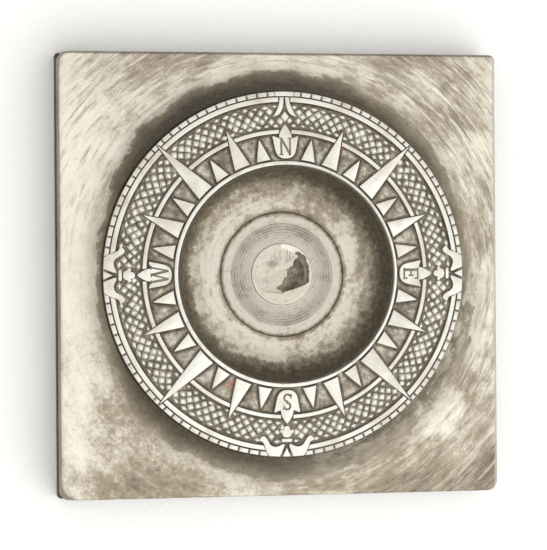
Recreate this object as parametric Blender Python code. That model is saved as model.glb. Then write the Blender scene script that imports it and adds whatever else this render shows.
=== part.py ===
"""A square garden sundial plate with a raised compass ring, a dished centre and the stub of its gnomon.

Lengths are in metres. +Z is up, +Y is north, +X is east, and the origin is the centre of the underside.
Heights named *_Z are measured from the underside. Angles round the ring run clockwise from north.
"""
from math import cos, hypot, pi, radians, sin, sqrt, tan, tau

import bmesh
import bpy

# Air kept between pieces that touch or rest on each other, and how far a cutter runs past a face.
GAP = 0.0003
OVERRUN = 0.001

# Sides of the large turned circles and of the small fasteners.
TURNED_SIDES = 48
FASTENER_SIDES = 16
CURVE_STEPS = 5
FILLET_SWEEP = radians(72)

# Base plate, the dark backing under the dial plate.
BASE_SIDE = 0.200
BASE_CORNER = 0.0015
BASE_TOP_Z = 0.006
EDGE_BREAK = 0.0005

# Dial plate: flat face, cove rising to the ring, ring seat and the well inside it.
DIAL_SIDE = 0.199
DIAL_CORNER = 0.0028
DIAL_BOTTOM_Z = BASE_TOP_Z + GAP
FACE_Z = 0.022
COVE_FOOT = 0.092
COVE_LIP = 0.0823
COVE_LIP_Z = 0.0275
SEAT_Z = 0.024
WELL_RADIUS = 0.054
WELL_FLOOR_Z = 0.0165

# Compass ring: its top is a shallow cone that falls outward from the rim. Depths are below that cone.
RING_OUTER = 0.0813
RING_INNER = 0.0485
RING_BOTTOM_Z = SEAT_Z + GAP
RIM_Z = 0.0345
EDGE_Z = 0.0310
FLOOR_DEPTH = 0.0010
GROOVE_DEPTH = 0.0007
BAND_DEPTH = 0.0001
MOTIF_ROOT_DEPTH = 0.0015
RIM_BAND_OUTER = 0.0502
RIM_BREAK = 0.0006
INNER_BAND = (0.0624, 0.0642)
OUTER_BAND = (0.0766, 0.0788)
TRACK_INNER = 0.0793

# Spikes of the compass rose: where they start, and the tip and half angle of each size.
SPIKE_FOOT = 0.0512
LONG_TIP = 0.0808
MEDIUM_TIP = 0.0686
SMALL_TIP = 0.0608
LONG_HALF_ANGLE = radians(4.4)
MEDIUM_HALF_ANGLE = radians(4.0)
SMALL_HALF_ANGLE = radians(3.4)

# Cardinal ornaments, from the shield outward.
SHIELD_FOOT = 0.0515
SHIELD_TOP = 0.0612
SHIELD_HALF_WIDTH = 0.0058
SHIELD_WAIST = 0.0052
ARROW_TIP = 0.0664
ARROW_HALF_WIDTH = 0.0025
ARROW_SHOULDER = 0.0628
FINIAL_CENTRE = 0.0700
FINIAL_HALF_WIDTH = 0.0019
FINIAL_HALF_LENGTH = 0.0022
BAR_FOOT = 0.0732
BAR_TOP = 0.0746
BAR_HALF_WIDTH = 0.0024
KEYSTONE_FOOT = 0.0792
KEYSTONE_TOP = 0.0811
KEYSTONE_HALF_WIDTH = 0.0044

# Dish insert: an annular bowl whose flange is clamped under the ring.
DISH_INNER = 0.0284
DISH_FLOOR_Z = 0.0216
DISH_FILLET_FOOT = 0.040
DISH_LIP = 0.0479
DISH_LIP_Z = 0.0337
DISH_FLANGE = WELL_RADIUS - GAP

# Centre disc and the gnomon root through it.
DISC_RADIUS = DISH_INNER - GAP
DISC_HOLE = 0.0110
LIP_RADIUS = 0.0138
LIP_BOTTOM_Z = 0.0209
ROOT_TOP_Z = 0.0223
NECK_RADIUS = DISC_HOLE - GAP
SHANK_RADIUS = 0.0040
SHANK_END_Z = 0.0025
PIT_MOUTH = 0.0114
PIT_FOOT = 0.0026
PIT_FLOOR_Z = 0.0177
PIT_SIDES = 9
PIT_UNEVENNESS = 0.05
PIT_WAVE = 2.1

# Washer and nut on the root's shank, in a pocket shared by both plates.
POCKET_RADIUS = 0.0115
POCKET_TOP_Z = 0.012
POCKET_FLOOR_Z = 0.002
ROOT_WASHER_RADIUS = 0.0105
ROOT_WASHER_THICKNESS = 0.0016
NUT_FLAT_TO_FLAT = 0.013
NUT_HEIGHT = 0.0065

# Ring screws, driven up through the dial plate, on a circle in the ring's widest floor.
RING_SCREW_CIRCLE = 0.066
RING_SCREW_SHANK = 0.0025
RING_SCREW_HEAD = 0.00425
RING_SCREW_HEAD_BOTTOM_Z = 0.0070
RING_SCREW_HEAD_TOP_Z = 0.0110
RING_SCREW_TIP_Z = 0.0285
RING_SCREW_SOCKET = 0.0040
RING_SCREW_SOCKET_DEPTH = 0.0025
RING_WASHER_RADIUS = 0.0050
RING_WASHER_THICKNESS = 0.0010
COUNTERBORE_RADIUS = 0.0053
COUNTERBORE_TOP_Z = 0.0126
RING_HOLE_TOP_Z = 0.0290

# Countersunk plate screws near the corners, and two locating dowels on the east-west line.
PLATE_SCREW_OFFSET = 0.085
PLATE_SCREW_SHANK = 0.0030
PLATE_SCREW_HEAD = 0.0060
PLATE_SCREW_HEAD_Z = 0.0004
PLATE_SCREW_TIP_Z = 0.0165
PLATE_SCREW_SOCKET = 0.0040
PLATE_SCREW_SOCKET_DEPTH = 0.0020
PLATE_HOLE_TOP_Z = 0.0170
DOWEL_OFFSET = 0.092
DOWEL_RADIUS = 0.0030
DOWEL_BOTTOM_Z = 0.0025
DOWEL_TOP_Z = 0.0120

CORNERS = {"ne": 45, "se": 135, "sw": 225, "nw": 315}
CARDINALS = (0, 90, 180, 270)


def clear_scene():
    for obj in list(bpy.data.objects):
        bpy.data.objects.remove(obj)


def metal(name, colour, roughness, metallic=1.0):
    material = bpy.data.materials.new(name)
    material.use_nodes = True
    shader = material.node_tree.nodes["Principled BSDF"]
    shader.inputs["Base Color"].default_value = (*colour, 1)
    shader.inputs["Roughness"].default_value = roughness
    shader.inputs["Metallic"].default_value = metallic
    return material


def add_object(name, bm, material=None):
    """Turns a bmesh into an object with smooth round faces and sharp edges."""
    bmesh.ops.recalc_face_normals(bm, faces=bm.faces)
    mesh = bpy.data.meshes.new(name)
    bm.to_mesh(mesh)
    bm.free()
    mesh.shade_smooth()
    mesh.set_sharp_from_angle(angle=radians(30))
    obj = bpy.data.objects.new(name, mesh)
    bpy.context.collection.objects.link(obj)
    if material:
        mesh.materials.append(material)
    return obj


def apply_boolean(obj, operation, name, bm):
    """Adds or cuts the bodies in bm, which stay in the file as a hidden guide object."""
    tool = add_object(name, bm)
    tool.hide_render = True
    tool.display_type = "WIRE"
    modifier = obj.modifiers.new(name, "BOOLEAN")
    modifier.operation = operation
    modifier.object = tool
    modifier.solver = "EXACT"


def circle(radius, z, sides, centre=(0, 0)):
    """Corner points of a polygon of that radius; a radius of zero is the one point on the axis."""
    if radius == 0:
        return [(centre[0], centre[1], z)]
    angles = [tau * i / sides for i in range(sides)]
    return [(centre[0] + radius * cos(a), centre[1] + radius * sin(a), z) for a in angles]


def bridge(bm, lower, upper):
    """Joins two loops of vertices with faces; one of them may be a single point on the axis."""
    sides = max(len(lower), len(upper))
    if sides == 1:
        return
    for i in range(sides):
        j = (i + 1) % sides
        corners = (lower[i % len(lower)], lower[j % len(lower)], upper[j % len(upper)], upper[i % len(upper)])
        bm.faces.new(dict.fromkeys(corners))


def add_turned(bm, profile, sides, centre=(0, 0), closed=True):
    """Turns a profile of (radius, z) points about a vertical axis and returns its loops of vertices."""
    loops = [[bm.verts.new(p) for p in circle(r, z, sides, centre)] for r, z in profile]
    for lower, upper in zip(loops, loops[1:]):
        bridge(bm, lower, upper)
    if closed:
        bridge(bm, loops[-1], loops[0])
    return loops


def turned(profile, sides=TURNED_SIDES, centre=(0, 0)):
    bm = bmesh.new()
    add_turned(bm, profile, sides, centre)
    return bm


def cylinder_profile(radius, bottom, top):
    return [(0, bottom), (radius, bottom), (radius, top), (0, top)]


def hexagon_radius(flat_to_flat):
    return flat_to_flat / 2 / cos(pi / 6)


def rounded_square(side, corner):
    """Outline of a square with round corners, anticlockwise."""
    inset = side / 2 - corner
    points = []
    for quadrant in range(4):
        x = inset * (1 if quadrant in (0, 3) else -1)
        y = inset * (1 if quadrant in (0, 1) else -1)
        for step in range(CURVE_STEPS + 1):
            angle = pi / 2 * (quadrant + step / CURVE_STEPS)
            points.append((x + corner * cos(angle), y + corner * sin(angle)))
    return points


def rising_fillet(foot, foot_z, lip, lip_z):
    """Points of a concave, elliptical arc that leaves a flat face at foot and climbs to lip."""
    points = []
    for i in range(CURVE_STEPS + 1):
        turn = FILLET_SWEEP * i / CURVE_STEPS
        across = sin(turn) / sin(FILLET_SWEEP)
        up = (1 - cos(turn)) / (1 - cos(FILLET_SWEEP))
        points.append((foot + (lip - foot) * across, foot_z + (lip_z - foot_z) * up))
    return points


def on_cone(radius, depth):
    """A (radius, z) point at a depth below the ring's conical top."""
    fall = (RIM_Z - EDGE_Z) * (radius - RING_INNER) / (RING_OUTER - RING_INNER)
    return radius, RIM_Z - fall - depth


def fill_between(bm, outer, inner):
    """Fills the flat face between an outline and the circle inside it."""
    edges = []
    for loop in (outer, inner):
        for start, end in zip(loop, loop[1:] + loop[:1]):
            edges.append(bm.edges.get((start, end)) or bm.edges.new((start, end)))
    bmesh.ops.triangle_fill(bm, use_beauty=True, use_dissolve=False, edges=edges)


def add_motif(bm, outline):
    """Stands a motif's outline up through the ring, with its ends parallel to the ring's conical top."""
    loops = []
    for depth in (MOTIF_ROOT_DEPTH, 0):
        loops.append([bm.verts.new((x, y, on_cone(hypot(x, y), depth)[1])) for x, y in outline])
    bridge(bm, *loops)
    bm.faces.new(reversed(loops[0]))
    bm.faces.new(loops[1])


def on_ring(angle, outline):
    """Moves (across, outward) points to their place at an angle clockwise from north."""
    s, c = sin(angle), cos(angle)
    return [(out * s + across * c, out * c - across * s) for across, out in outline]


def mirrored(half):
    """Closes a right-hand half outline, given from the foot up, with its mirror image."""
    left = [(-across, out) for across, out in reversed(half) if across > 0]
    return half + left


def spike(half_angle, tip):
    return mirrored([(SPIKE_FOOT * tan(half_angle), SPIKE_FOOT), (0, tip)])


def shield():
    """A U-shaped shield with its round end toward the centre."""
    bend = SHIELD_FOOT + SHIELD_HALF_WIDTH
    steps = range(CURVE_STEPS + 1)
    angles = [pi / 2 * i / CURVE_STEPS for i in steps]
    half = [(SHIELD_WAIST * sin(a), bend - SHIELD_HALF_WIDTH * cos(a)) for a in angles]
    return mirrored(half + [(SHIELD_HALF_WIDTH, SHIELD_TOP)])


def arrow():
    foot = SHIELD_TOP + GAP
    return mirrored([(ARROW_HALF_WIDTH, foot), (ARROW_HALF_WIDTH, ARROW_SHOULDER), (0, ARROW_TIP)])


def finial():
    middle = (FINIAL_HALF_WIDTH, FINIAL_CENTRE)
    foot = FINIAL_CENTRE - FINIAL_HALF_LENGTH
    return mirrored([(0, foot), middle, (0, FINIAL_CENTRE + FINIAL_HALF_LENGTH)])


def bar():
    return mirrored([(BAR_HALF_WIDTH, BAR_FOOT), (BAR_HALF_WIDTH, BAR_TOP)])


def keystone():
    return mirrored([(KEYSTONE_HALF_WIDTH, KEYSTONE_FOOT), (KEYSTONE_HALF_WIDTH + GAP, KEYSTONE_TOP)])


def petal(side):
    """One of the two leaves that flare inward from the rim beside a cardinal point."""
    half = [
        (0.0011, 0.0756), (0.0030, 0.0763), (0.0050, 0.0767), (0.0072, 0.0758), (0.0086, 0.0735),
        (0.0104, 0.0719), (0.0122, 0.0735), (0.0103, 0.0756), (0.0093, 0.0785), (0.0078, 0.0807),
        (0.0034, 0.0809),
    ]
    return [(side * across, out) for across, out in half]


def tendril(side):
    """One of the two strands that fall from the keystone of the north point."""
    half = [
        (0.0003, 0.0785), (0.0019, 0.0785), (0.0024, 0.0756), (0.0038, 0.0724), (0.0053, 0.0704),
        (0.0029, 0.0712), (0.0014, 0.0735),
    ]
    return [(side * across, out) for across, out in half]


def make_base_plate():
    bm = bmesh.new()
    outline = rounded_square(BASE_SIDE, BASE_CORNER)
    narrow = rounded_square(BASE_SIDE - 2 * EDGE_BREAK, BASE_CORNER)
    walls = [(narrow, 0), (outline, EDGE_BREAK), (outline, BASE_TOP_Z - EDGE_BREAK), (narrow, BASE_TOP_Z)]
    loops = [[bm.verts.new((x, y, z)) for x, y in points] for points, z in walls]
    for lower, upper in zip(loops, loops[1:]):
        bridge(bm, lower, upper)
    pocket = [(POCKET_RADIUS, BASE_TOP_Z), (POCKET_RADIUS, POCKET_FLOOR_Z), (0, POCKET_FLOOR_Z)]
    mouth = add_turned(bm, pocket, TURNED_SIDES, closed=False)[0]
    fill_between(bm, loops[-1], mouth)
    bm.faces.new(loops[0])
    plate = add_object("base_plate", bm, metal("base_metal", (0.13, 0.12, 0.11), 0.6))

    holes = bmesh.new()
    slack = GAP * sqrt(2)
    mouth_radius = PLATE_SCREW_HEAD + PLATE_SCREW_HEAD_Z + slack + OVERRUN
    throat_z = mouth_radius - OVERRUN - PLATE_SCREW_SHANK - GAP
    throat = PLATE_SCREW_SHANK + GAP
    countersink = [
        (0, -OVERRUN), (mouth_radius, -OVERRUN), (throat, throat_z),
        (throat, BASE_TOP_Z + OVERRUN), (0, BASE_TOP_Z + OVERRUN),
    ]
    for centre in plate_screw_places().values():
        add_turned(holes, countersink, FASTENER_SIDES, centre)
    blind = cylinder_profile(DOWEL_RADIUS + GAP, DOWEL_BOTTOM_Z - GAP, BASE_TOP_Z + OVERRUN)
    for centre in dowel_places().values():
        add_turned(holes, blind, FASTENER_SIDES, centre)
    apply_boolean(plate, "DIFFERENCE", "base_plate_holes", holes)


def make_dial_plate():
    bm = bmesh.new()
    outline = rounded_square(DIAL_SIDE, DIAL_CORNER)
    narrow = rounded_square(DIAL_SIDE - 2 * EDGE_BREAK, DIAL_CORNER)
    walls = [(outline, DIAL_BOTTOM_Z), (outline, FACE_Z - EDGE_BREAK), (narrow, FACE_Z)]
    loops = [[bm.verts.new((x, y, z)) for x, y in points] for points, z in walls]
    for lower, upper in zip(loops, loops[1:]):
        bridge(bm, lower, upper)
    bore = SHANK_RADIUS + GAP
    seat = RING_OUTER + GAP
    profile = rising_fillet(COVE_FOOT, FACE_Z, COVE_LIP, COVE_LIP_Z)
    profile += [(seat, COVE_LIP_Z), (seat, SEAT_Z), (WELL_RADIUS, SEAT_Z), (WELL_RADIUS, WELL_FLOOR_Z)]
    profile += [(bore, WELL_FLOOR_Z), (bore, POCKET_TOP_Z), (POCKET_RADIUS, POCKET_TOP_Z)]
    profile += [(POCKET_RADIUS, DIAL_BOTTOM_Z)]
    turned_loops = add_turned(bm, profile, TURNED_SIDES, closed=False)
    fill_between(bm, loops[-1], turned_loops[0])
    fill_between(bm, loops[0], turned_loops[-1])
    plate = add_object("dial_plate", bm, metal("dial_metal", (0.58, 0.55, 0.47), 0.38))

    holes = bmesh.new()
    below = DIAL_BOTTOM_Z - OVERRUN
    clearance = RING_SCREW_SHANK + GAP
    stepped = [
        (0, below), (COUNTERBORE_RADIUS, below), (COUNTERBORE_RADIUS, COUNTERBORE_TOP_Z),
        (clearance, COUNTERBORE_TOP_Z), (clearance, SEAT_Z + OVERRUN), (0, SEAT_Z + OVERRUN),
    ]
    for centre in ring_screw_places().values():
        add_turned(holes, stepped, FASTENER_SIDES, centre)
    blind = cylinder_profile(PLATE_SCREW_SHANK + GAP, below, PLATE_HOLE_TOP_Z)
    for centre in plate_screw_places().values():
        add_turned(holes, blind, FASTENER_SIDES, centre)
    blind = cylinder_profile(DOWEL_RADIUS + GAP, below, DOWEL_TOP_Z + GAP)
    for centre in dowel_places().values():
        add_turned(holes, blind, FASTENER_SIDES, centre)
    apply_boolean(plate, "DIFFERENCE", "dial_plate_holes", holes)


def make_compass_ring():
    profile = [(RING_INNER, RING_BOTTOM_Z), (RING_OUTER, RING_BOTTOM_Z), on_cone(RING_OUTER, BAND_DEPTH)]
    profile += [on_cone(TRACK_INNER, BAND_DEPTH), on_cone(TRACK_INNER, GROOVE_DEPTH)]
    profile += [on_cone(OUTER_BAND[1], GROOVE_DEPTH), on_cone(OUTER_BAND[1], BAND_DEPTH)]
    profile += [on_cone(OUTER_BAND[0], BAND_DEPTH), on_cone(OUTER_BAND[0], FLOOR_DEPTH)]
    profile += [on_cone(INNER_BAND[1], FLOOR_DEPTH), on_cone(INNER_BAND[1], BAND_DEPTH)]
    profile += [on_cone(INNER_BAND[0], BAND_DEPTH), on_cone(INNER_BAND[0], FLOOR_DEPTH)]
    profile += [on_cone(RIM_BAND_OUTER, FLOOR_DEPTH), on_cone(RIM_BAND_OUTER, 0)]
    profile += [on_cone(RING_INNER + RIM_BREAK, 0), on_cone(RING_INNER, RIM_BREAK)]
    ring = add_object("compass_ring", turned(profile), metal("ring_metal", (0.72, 0.70, 0.64), 0.32))

    spikes = bmesh.new()
    for index in range(32):
        angle = tau * index / 32
        if index % 8 == 0:
            continue
        if index % 8 == 4:
            outline = spike(LONG_HALF_ANGLE, LONG_TIP)
        elif index % 2 == 0:
            outline = spike(MEDIUM_HALF_ANGLE, MEDIUM_TIP)
        else:
            outline = spike(SMALL_HALF_ANGLE, SMALL_TIP)
        add_motif(spikes, on_ring(angle, outline))
    bmesh.ops.triangulate(spikes, faces=spikes.faces)
    apply_boolean(ring, "UNION", "ring_spikes", spikes)

    ornaments = bmesh.new()
    for angle in CARDINALS:
        outlines = [shield(), arrow(), finial()]
        if angle == 0:
            outlines += [keystone(), tendril(1), tendril(-1)]
        else:
            outlines += [bar(), petal(1), petal(-1)]
        for outline in outlines:
            add_motif(ornaments, on_ring(radians(angle), outline))
    bmesh.ops.triangulate(ornaments, faces=ornaments.faces)
    apply_boolean(ring, "UNION", "ring_ornaments", ornaments)

    holes = bmesh.new()
    blind = cylinder_profile(RING_SCREW_SHANK + GAP, RING_BOTTOM_Z - OVERRUN, RING_HOLE_TOP_Z)
    for centre in ring_screw_places().values():
        add_turned(holes, blind, FASTENER_SIDES, centre)
    apply_boolean(ring, "DIFFERENCE", "ring_screw_holes", holes)


def make_dish_insert():
    bottom = WELL_FLOOR_Z + GAP
    wall = RING_INNER - GAP
    profile = [(DISH_INNER, bottom), (DISH_FLANGE, bottom), (DISH_FLANGE, SEAT_Z), (wall, SEAT_Z)]
    profile += [(wall, DISH_LIP_Z)]
    profile += reversed(rising_fillet(DISH_FILLET_FOOT, DISH_FLOOR_Z, DISH_LIP, DISH_LIP_Z))
    profile += [(DISH_INNER, DISH_FLOOR_Z)]
    add_object("dish_insert", turned(profile), metal("dish_metal", (0.50, 0.46, 0.38), 0.40))


def make_centre_disc():
    recess = LIP_RADIUS + GAP
    recess_z = LIP_BOTTOM_Z - GAP
    bottom = WELL_FLOOR_Z + GAP
    profile = [
        (DISC_HOLE, bottom), (DISC_RADIUS, bottom), (DISC_RADIUS, DISH_FLOOR_Z - GAP),
        (DISC_RADIUS - GAP, DISH_FLOOR_Z), (recess, DISH_FLOOR_Z), (recess, recess_z), (DISC_HOLE, recess_z),
    ]
    add_object("centre_disc", turned(profile), metal("disc_metal", (0.56, 0.53, 0.46), 0.35))


def make_gnomon_root():
    profile = [
        (0, SHANK_END_Z), (SHANK_RADIUS, SHANK_END_Z), (SHANK_RADIUS, WELL_FLOOR_Z + GAP),
        (NECK_RADIUS, WELL_FLOOR_Z + GAP), (NECK_RADIUS, LIP_BOTTOM_Z), (LIP_RADIUS, LIP_BOTTOM_Z),
        (LIP_RADIUS, ROOT_TOP_Z - GAP), (LIP_RADIUS - GAP, ROOT_TOP_Z), (0, ROOT_TOP_Z),
    ]
    root = add_object("gnomon_root", turned(profile), metal("root_metal", (0.60, 0.57, 0.50), 0.36))

    # The broken socket: an uneven faceted hollow, wider to one side than the other.
    pit = bmesh.new()
    slope = (PIT_MOUTH - PIT_FOOT) / (ROOT_TOP_Z - PIT_FLOOR_Z)
    mouth = PIT_MOUTH + slope * OVERRUN
    loops = []
    for radius, z in ((PIT_FOOT, PIT_FLOOR_Z), (mouth, ROOT_TOP_Z + OVERRUN)):
        uneven = [1 + PIT_UNEVENNESS * sin(PIT_WAVE * i) for i in range(PIT_SIDES)]
        loop = []
        for (x, y, z), share in zip(circle(radius, z, PIT_SIDES), uneven):
            loop.append(pit.verts.new((x * share, y * share, z)))
        loops.append(loop)
    bridge(pit, *loops)
    pit.faces.new(loops[0])
    pit.faces.new(loops[1])
    apply_boolean(root, "DIFFERENCE", "root_pit", pit)


def make_root_fixings():
    bore = SHANK_RADIUS + GAP
    steel = metal("fixing_steel", (0.42, 0.42, 0.41), 0.35)
    top = POCKET_TOP_Z - GAP
    bottom = top - ROOT_WASHER_THICKNESS
    ring = [(bore, bottom), (ROOT_WASHER_RADIUS, bottom), (ROOT_WASHER_RADIUS, top), (bore, top)]
    add_object("root_washer", turned(ring, FASTENER_SIDES), steel)

    top = bottom - GAP
    bottom = top - NUT_HEIGHT
    corner = hexagon_radius(NUT_FLAT_TO_FLAT)
    nut = add_object("root_nut", turned(cylinder_profile(corner, bottom, top), 6), steel)
    thread = cylinder_profile(bore, bottom - OVERRUN, top + OVERRUN)
    apply_boolean(nut, "DIFFERENCE", "root_nut_thread", turned(thread, FASTENER_SIDES))


def ring_screw_places():
    angles = {corner: radians(degrees) for corner, degrees in CORNERS.items()}
    return {corner: (RING_SCREW_CIRCLE * sin(a), RING_SCREW_CIRCLE * cos(a)) for corner, a in angles.items()}


def plate_screw_places():
    o = PLATE_SCREW_OFFSET
    return {"ne": (o, o), "se": (o, -o), "sw": (-o, -o), "nw": (-o, o)}


def dowel_places():
    return {"e": (DOWEL_OFFSET, 0), "w": (-DOWEL_OFFSET, 0)}


def socket_cutter(flat_to_flat, face_z, depth, centre):
    """A hexagon key's socket, sunk upward into a head whose face looks down."""
    profile = cylinder_profile(hexagon_radius(flat_to_flat), face_z - OVERRUN, face_z + depth)
    return turned(profile, 6, centre)


def make_ring_screws():
    steel = metal("ring_screw_steel", (0.30, 0.30, 0.30), 0.40)
    washer_steel = metal("ring_washer_steel", (0.45, 0.45, 0.44), 0.38)
    head_z, neck_z = RING_SCREW_HEAD_BOTTOM_Z, RING_SCREW_HEAD_TOP_Z
    screw = [
        (0, head_z), (RING_SCREW_HEAD, head_z), (RING_SCREW_HEAD, neck_z), (RING_SCREW_SHANK, neck_z),
        (RING_SCREW_SHANK, RING_SCREW_TIP_Z), (0, RING_SCREW_TIP_Z),
    ]
    bore = RING_SCREW_SHANK + GAP
    bottom = neck_z + GAP
    top = bottom + RING_WASHER_THICKNESS
    washer = [(bore, bottom), (RING_WASHER_RADIUS, bottom), (RING_WASHER_RADIUS, top), (bore, top)]
    for corner, centre in ring_screw_places().items():
        body = add_object(f"ring_screw_{corner}", turned(screw, FASTENER_SIDES, centre), steel)
        cutter = socket_cutter(RING_SCREW_SOCKET, head_z, RING_SCREW_SOCKET_DEPTH, centre)
        apply_boolean(body, "DIFFERENCE", f"ring_screw_socket_{corner}", cutter)
        add_object(f"ring_washer_{corner}", turned(washer, FASTENER_SIDES, centre), washer_steel)


def make_plate_screws():
    steel = metal("plate_screw_steel", (0.34, 0.34, 0.33), 0.38)
    neck_z = PLATE_SCREW_HEAD_Z + PLATE_SCREW_HEAD - PLATE_SCREW_SHANK
    screw = [
        (0, PLATE_SCREW_HEAD_Z), (PLATE_SCREW_HEAD, PLATE_SCREW_HEAD_Z), (PLATE_SCREW_SHANK, neck_z),
        (PLATE_SCREW_SHANK, PLATE_SCREW_TIP_Z), (0, PLATE_SCREW_TIP_Z),
    ]
    for corner, centre in plate_screw_places().items():
        body = add_object(f"plate_screw_{corner}", turned(screw, FASTENER_SIDES, centre), steel)
        cutter = socket_cutter(PLATE_SCREW_SOCKET, PLATE_SCREW_HEAD_Z, PLATE_SCREW_SOCKET_DEPTH, centre)
        apply_boolean(body, "DIFFERENCE", f"plate_screw_socket_{corner}", cutter)


def make_dowels():
    steel = metal("dowel_steel", (0.50, 0.50, 0.49), 0.28)
    tapered = DOWEL_RADIUS - GAP
    pin = [
        (0, DOWEL_BOTTOM_Z), (tapered, DOWEL_BOTTOM_Z), (DOWEL_RADIUS, DOWEL_BOTTOM_Z + GAP),
        (DOWEL_RADIUS, DOWEL_TOP_Z - GAP), (tapered, DOWEL_TOP_Z), (0, DOWEL_TOP_Z),
    ]
    for side, centre in dowel_places().items():
        add_object(f"locating_dowel_{side}", turned(pin, FASTENER_SIDES, centre), steel)


clear_scene()
make_base_plate()
make_dial_plate()
make_compass_ring()
make_dish_insert()
make_centre_disc()
make_gnomon_root()
make_root_fixings()
make_ring_screws()
make_plate_screws()
make_dowels()
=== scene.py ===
"""The looks of the garden sundial plate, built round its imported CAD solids.

Lengths are in metres in the CAD's frame: +Z is up, +Y is north, and the origin is the underside's centre.
Angles round the ring run clockwise from north. An ornament is drawn as (across, outward) points: across is
the distance clockwise from its radial line, outward the distance from the dial's centre.
"""
import random
from math import asin, ceil, cos, hypot, pi, radians, sin, tau

import bmesh
import bpy
import numpy as np
from mathutils import Matrix, Vector, kdtree, noise


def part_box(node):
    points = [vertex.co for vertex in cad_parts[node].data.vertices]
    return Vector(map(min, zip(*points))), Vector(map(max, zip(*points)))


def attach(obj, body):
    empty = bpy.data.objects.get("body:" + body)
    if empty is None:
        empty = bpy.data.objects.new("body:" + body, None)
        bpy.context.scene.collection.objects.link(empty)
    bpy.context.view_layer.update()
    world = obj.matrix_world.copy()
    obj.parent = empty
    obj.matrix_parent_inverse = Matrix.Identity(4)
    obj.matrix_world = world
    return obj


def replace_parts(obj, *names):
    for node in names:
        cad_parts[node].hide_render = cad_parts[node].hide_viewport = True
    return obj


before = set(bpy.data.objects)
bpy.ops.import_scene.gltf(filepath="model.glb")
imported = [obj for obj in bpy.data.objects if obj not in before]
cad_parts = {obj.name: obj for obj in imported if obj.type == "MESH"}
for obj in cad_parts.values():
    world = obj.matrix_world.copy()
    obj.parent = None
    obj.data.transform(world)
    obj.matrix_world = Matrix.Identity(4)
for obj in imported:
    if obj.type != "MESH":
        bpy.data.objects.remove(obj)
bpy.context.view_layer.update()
random.seed(1850)

MM = 0.001

# Heights and radii that the CAD solids share, read from the frame where a node's box gives them.
DIAL_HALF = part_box("dial_plate")[1].x
DIAL_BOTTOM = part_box("dial_plate")[0].z
COVE_LIP_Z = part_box("dial_plate")[1].z
RING_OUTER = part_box("compass_ring")[1].x
RING_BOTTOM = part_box("compass_ring")[0].z
RIM_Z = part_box("compass_ring")[1].z
DISH_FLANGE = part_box("dish_insert")[1].x
DISH_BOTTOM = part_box("dish_insert")[0].z
DISH_LIP_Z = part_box("dish_insert")[1].z
DISC_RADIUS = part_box("centre_disc")[1].x
DISC_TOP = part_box("centre_disc")[1].z
ROOT_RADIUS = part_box("gnomon_root")[1].x
ROOT_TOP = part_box("gnomon_root")[1].z
ROOT_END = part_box("gnomon_root")[0].z

# The rest of the CAD's measures, and how the visible surfaces divide.
GAP = 0.3 * MM
FACE_Z = 22 * MM
COVE_FOOT = 92 * MM
COVE_LIP = 82.3 * MM
SEAT_Z = 24 * MM
SEAT_INNER = 54 * MM
STUD_HOLE = 4.3 * MM
POCKET_RADIUS = 11.5 * MM
POCKET_TOP = 12 * MM
RING_INNER = 48.5 * MM
EDGE_Z = 31.0 * MM
FLOOR_DEPTH = 1.0 * MM
RING_SLOPE = (RIM_Z - EDGE_Z) / (RING_OUTER - RING_INNER)
RIM_OUTER = 50.2 * MM
INNER_BAND = (62.5 * MM, 64.2 * MM)
OUTER_BAND = (76.7 * MM, 78.75 * MM)
TRACK = (79.35 * MM, RING_OUTER)
KNURL = (65.0 * MM, 75.6 * MM)
SPIKE_FOOT = 51.2 * MM
DISH_INNER = DISC_RADIUS + 0.12 * MM
DISH_FLOOR = DISC_TOP
DISH_FILLET = 40 * MM
DISH_LIP = 47.9 * MM
GROOVES = (15.18 * MM, 23.2 * MM)
GROOVE_PITCH = 1.275 * MM
DISC_HOLE = 11.0 * MM
NECK_RADIUS = 10.7 * MM
STUD_RADIUS = 4.0 * MM
LIP_DROP = 1.4 * MM


def clamp(value):
    return max(0.0, min(1.0, value))


def millimetres(points):
    return [(x * MM, y * MM) for x, y in points]


# --- Meshes ---


def add_piece(name, verts, faces, material, smooth=30):
    """Makes a mesh object that rides on the one body and takes the material it is given."""
    mesh = bpy.data.meshes.new(name)
    mesh.from_pydata([tuple(v) for v in verts], [], faces)
    mesh.validate()
    return finish_piece(name, mesh, material, smooth)


def link_new(name, data):
    obj = bpy.data.objects.new(name, data)
    bpy.context.scene.collection.objects.link(obj)
    return obj


def finish_piece(name, mesh, material, smooth=30):
    mesh.shade_smooth()
    mesh.set_sharp_from_angle(angle=radians(smooth))
    mesh.materials.clear()
    mesh.materials.append(material)
    piece = link_new(name, mesh)
    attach(piece, "root")
    return piece


def store(piece, name, values):
    """Gives a piece one number for each of its points, which its material reads."""
    attribute = piece.data.attributes.new(name, "FLOAT", "POINT")
    attribute.data.foreach_set("value", np.array(values, np.float32).ravel())


def caps(start, count, last):
    """The two end faces of a lofted solid: the first loop's, turned over, and the last one's."""
    return [tuple(range(start + count - 1, start - 1, -1)), tuple(range(last, last + count))]


def loft_faces(loops, closed=True):
    """Quads that join loops of equal length, outward when the loops run anticlockwise up the outside."""
    rows, count = len(loops), len(loops[0])
    faces = []
    for i in range(rows if closed else rows - 1):
        low, high = i * count, (i + 1) % rows * count
        faces += [(low + j, low + (j + 1) % count, high + (j + 1) % count, high + j) for j in range(count)]
    return faces


def loft(name, loops, material, smooth=30):
    """A ring-shaped solid through closed loops; the last loop joins the first."""
    verts = np.concatenate([np.asarray(loop, float) for loop in loops])
    return add_piece(name, verts, loft_faces(loops), material, smooth)


def circles(profile, angles):
    """One loop of points for each (radius, z) of a turned profile."""
    c, s = np.cos(angles), np.sin(angles)
    return [np.stack([r * c, r * s, np.full(len(angles), z)], 1) for r, z in profile]


def even_angles(count):
    return np.arange(count) * tau / count


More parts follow.
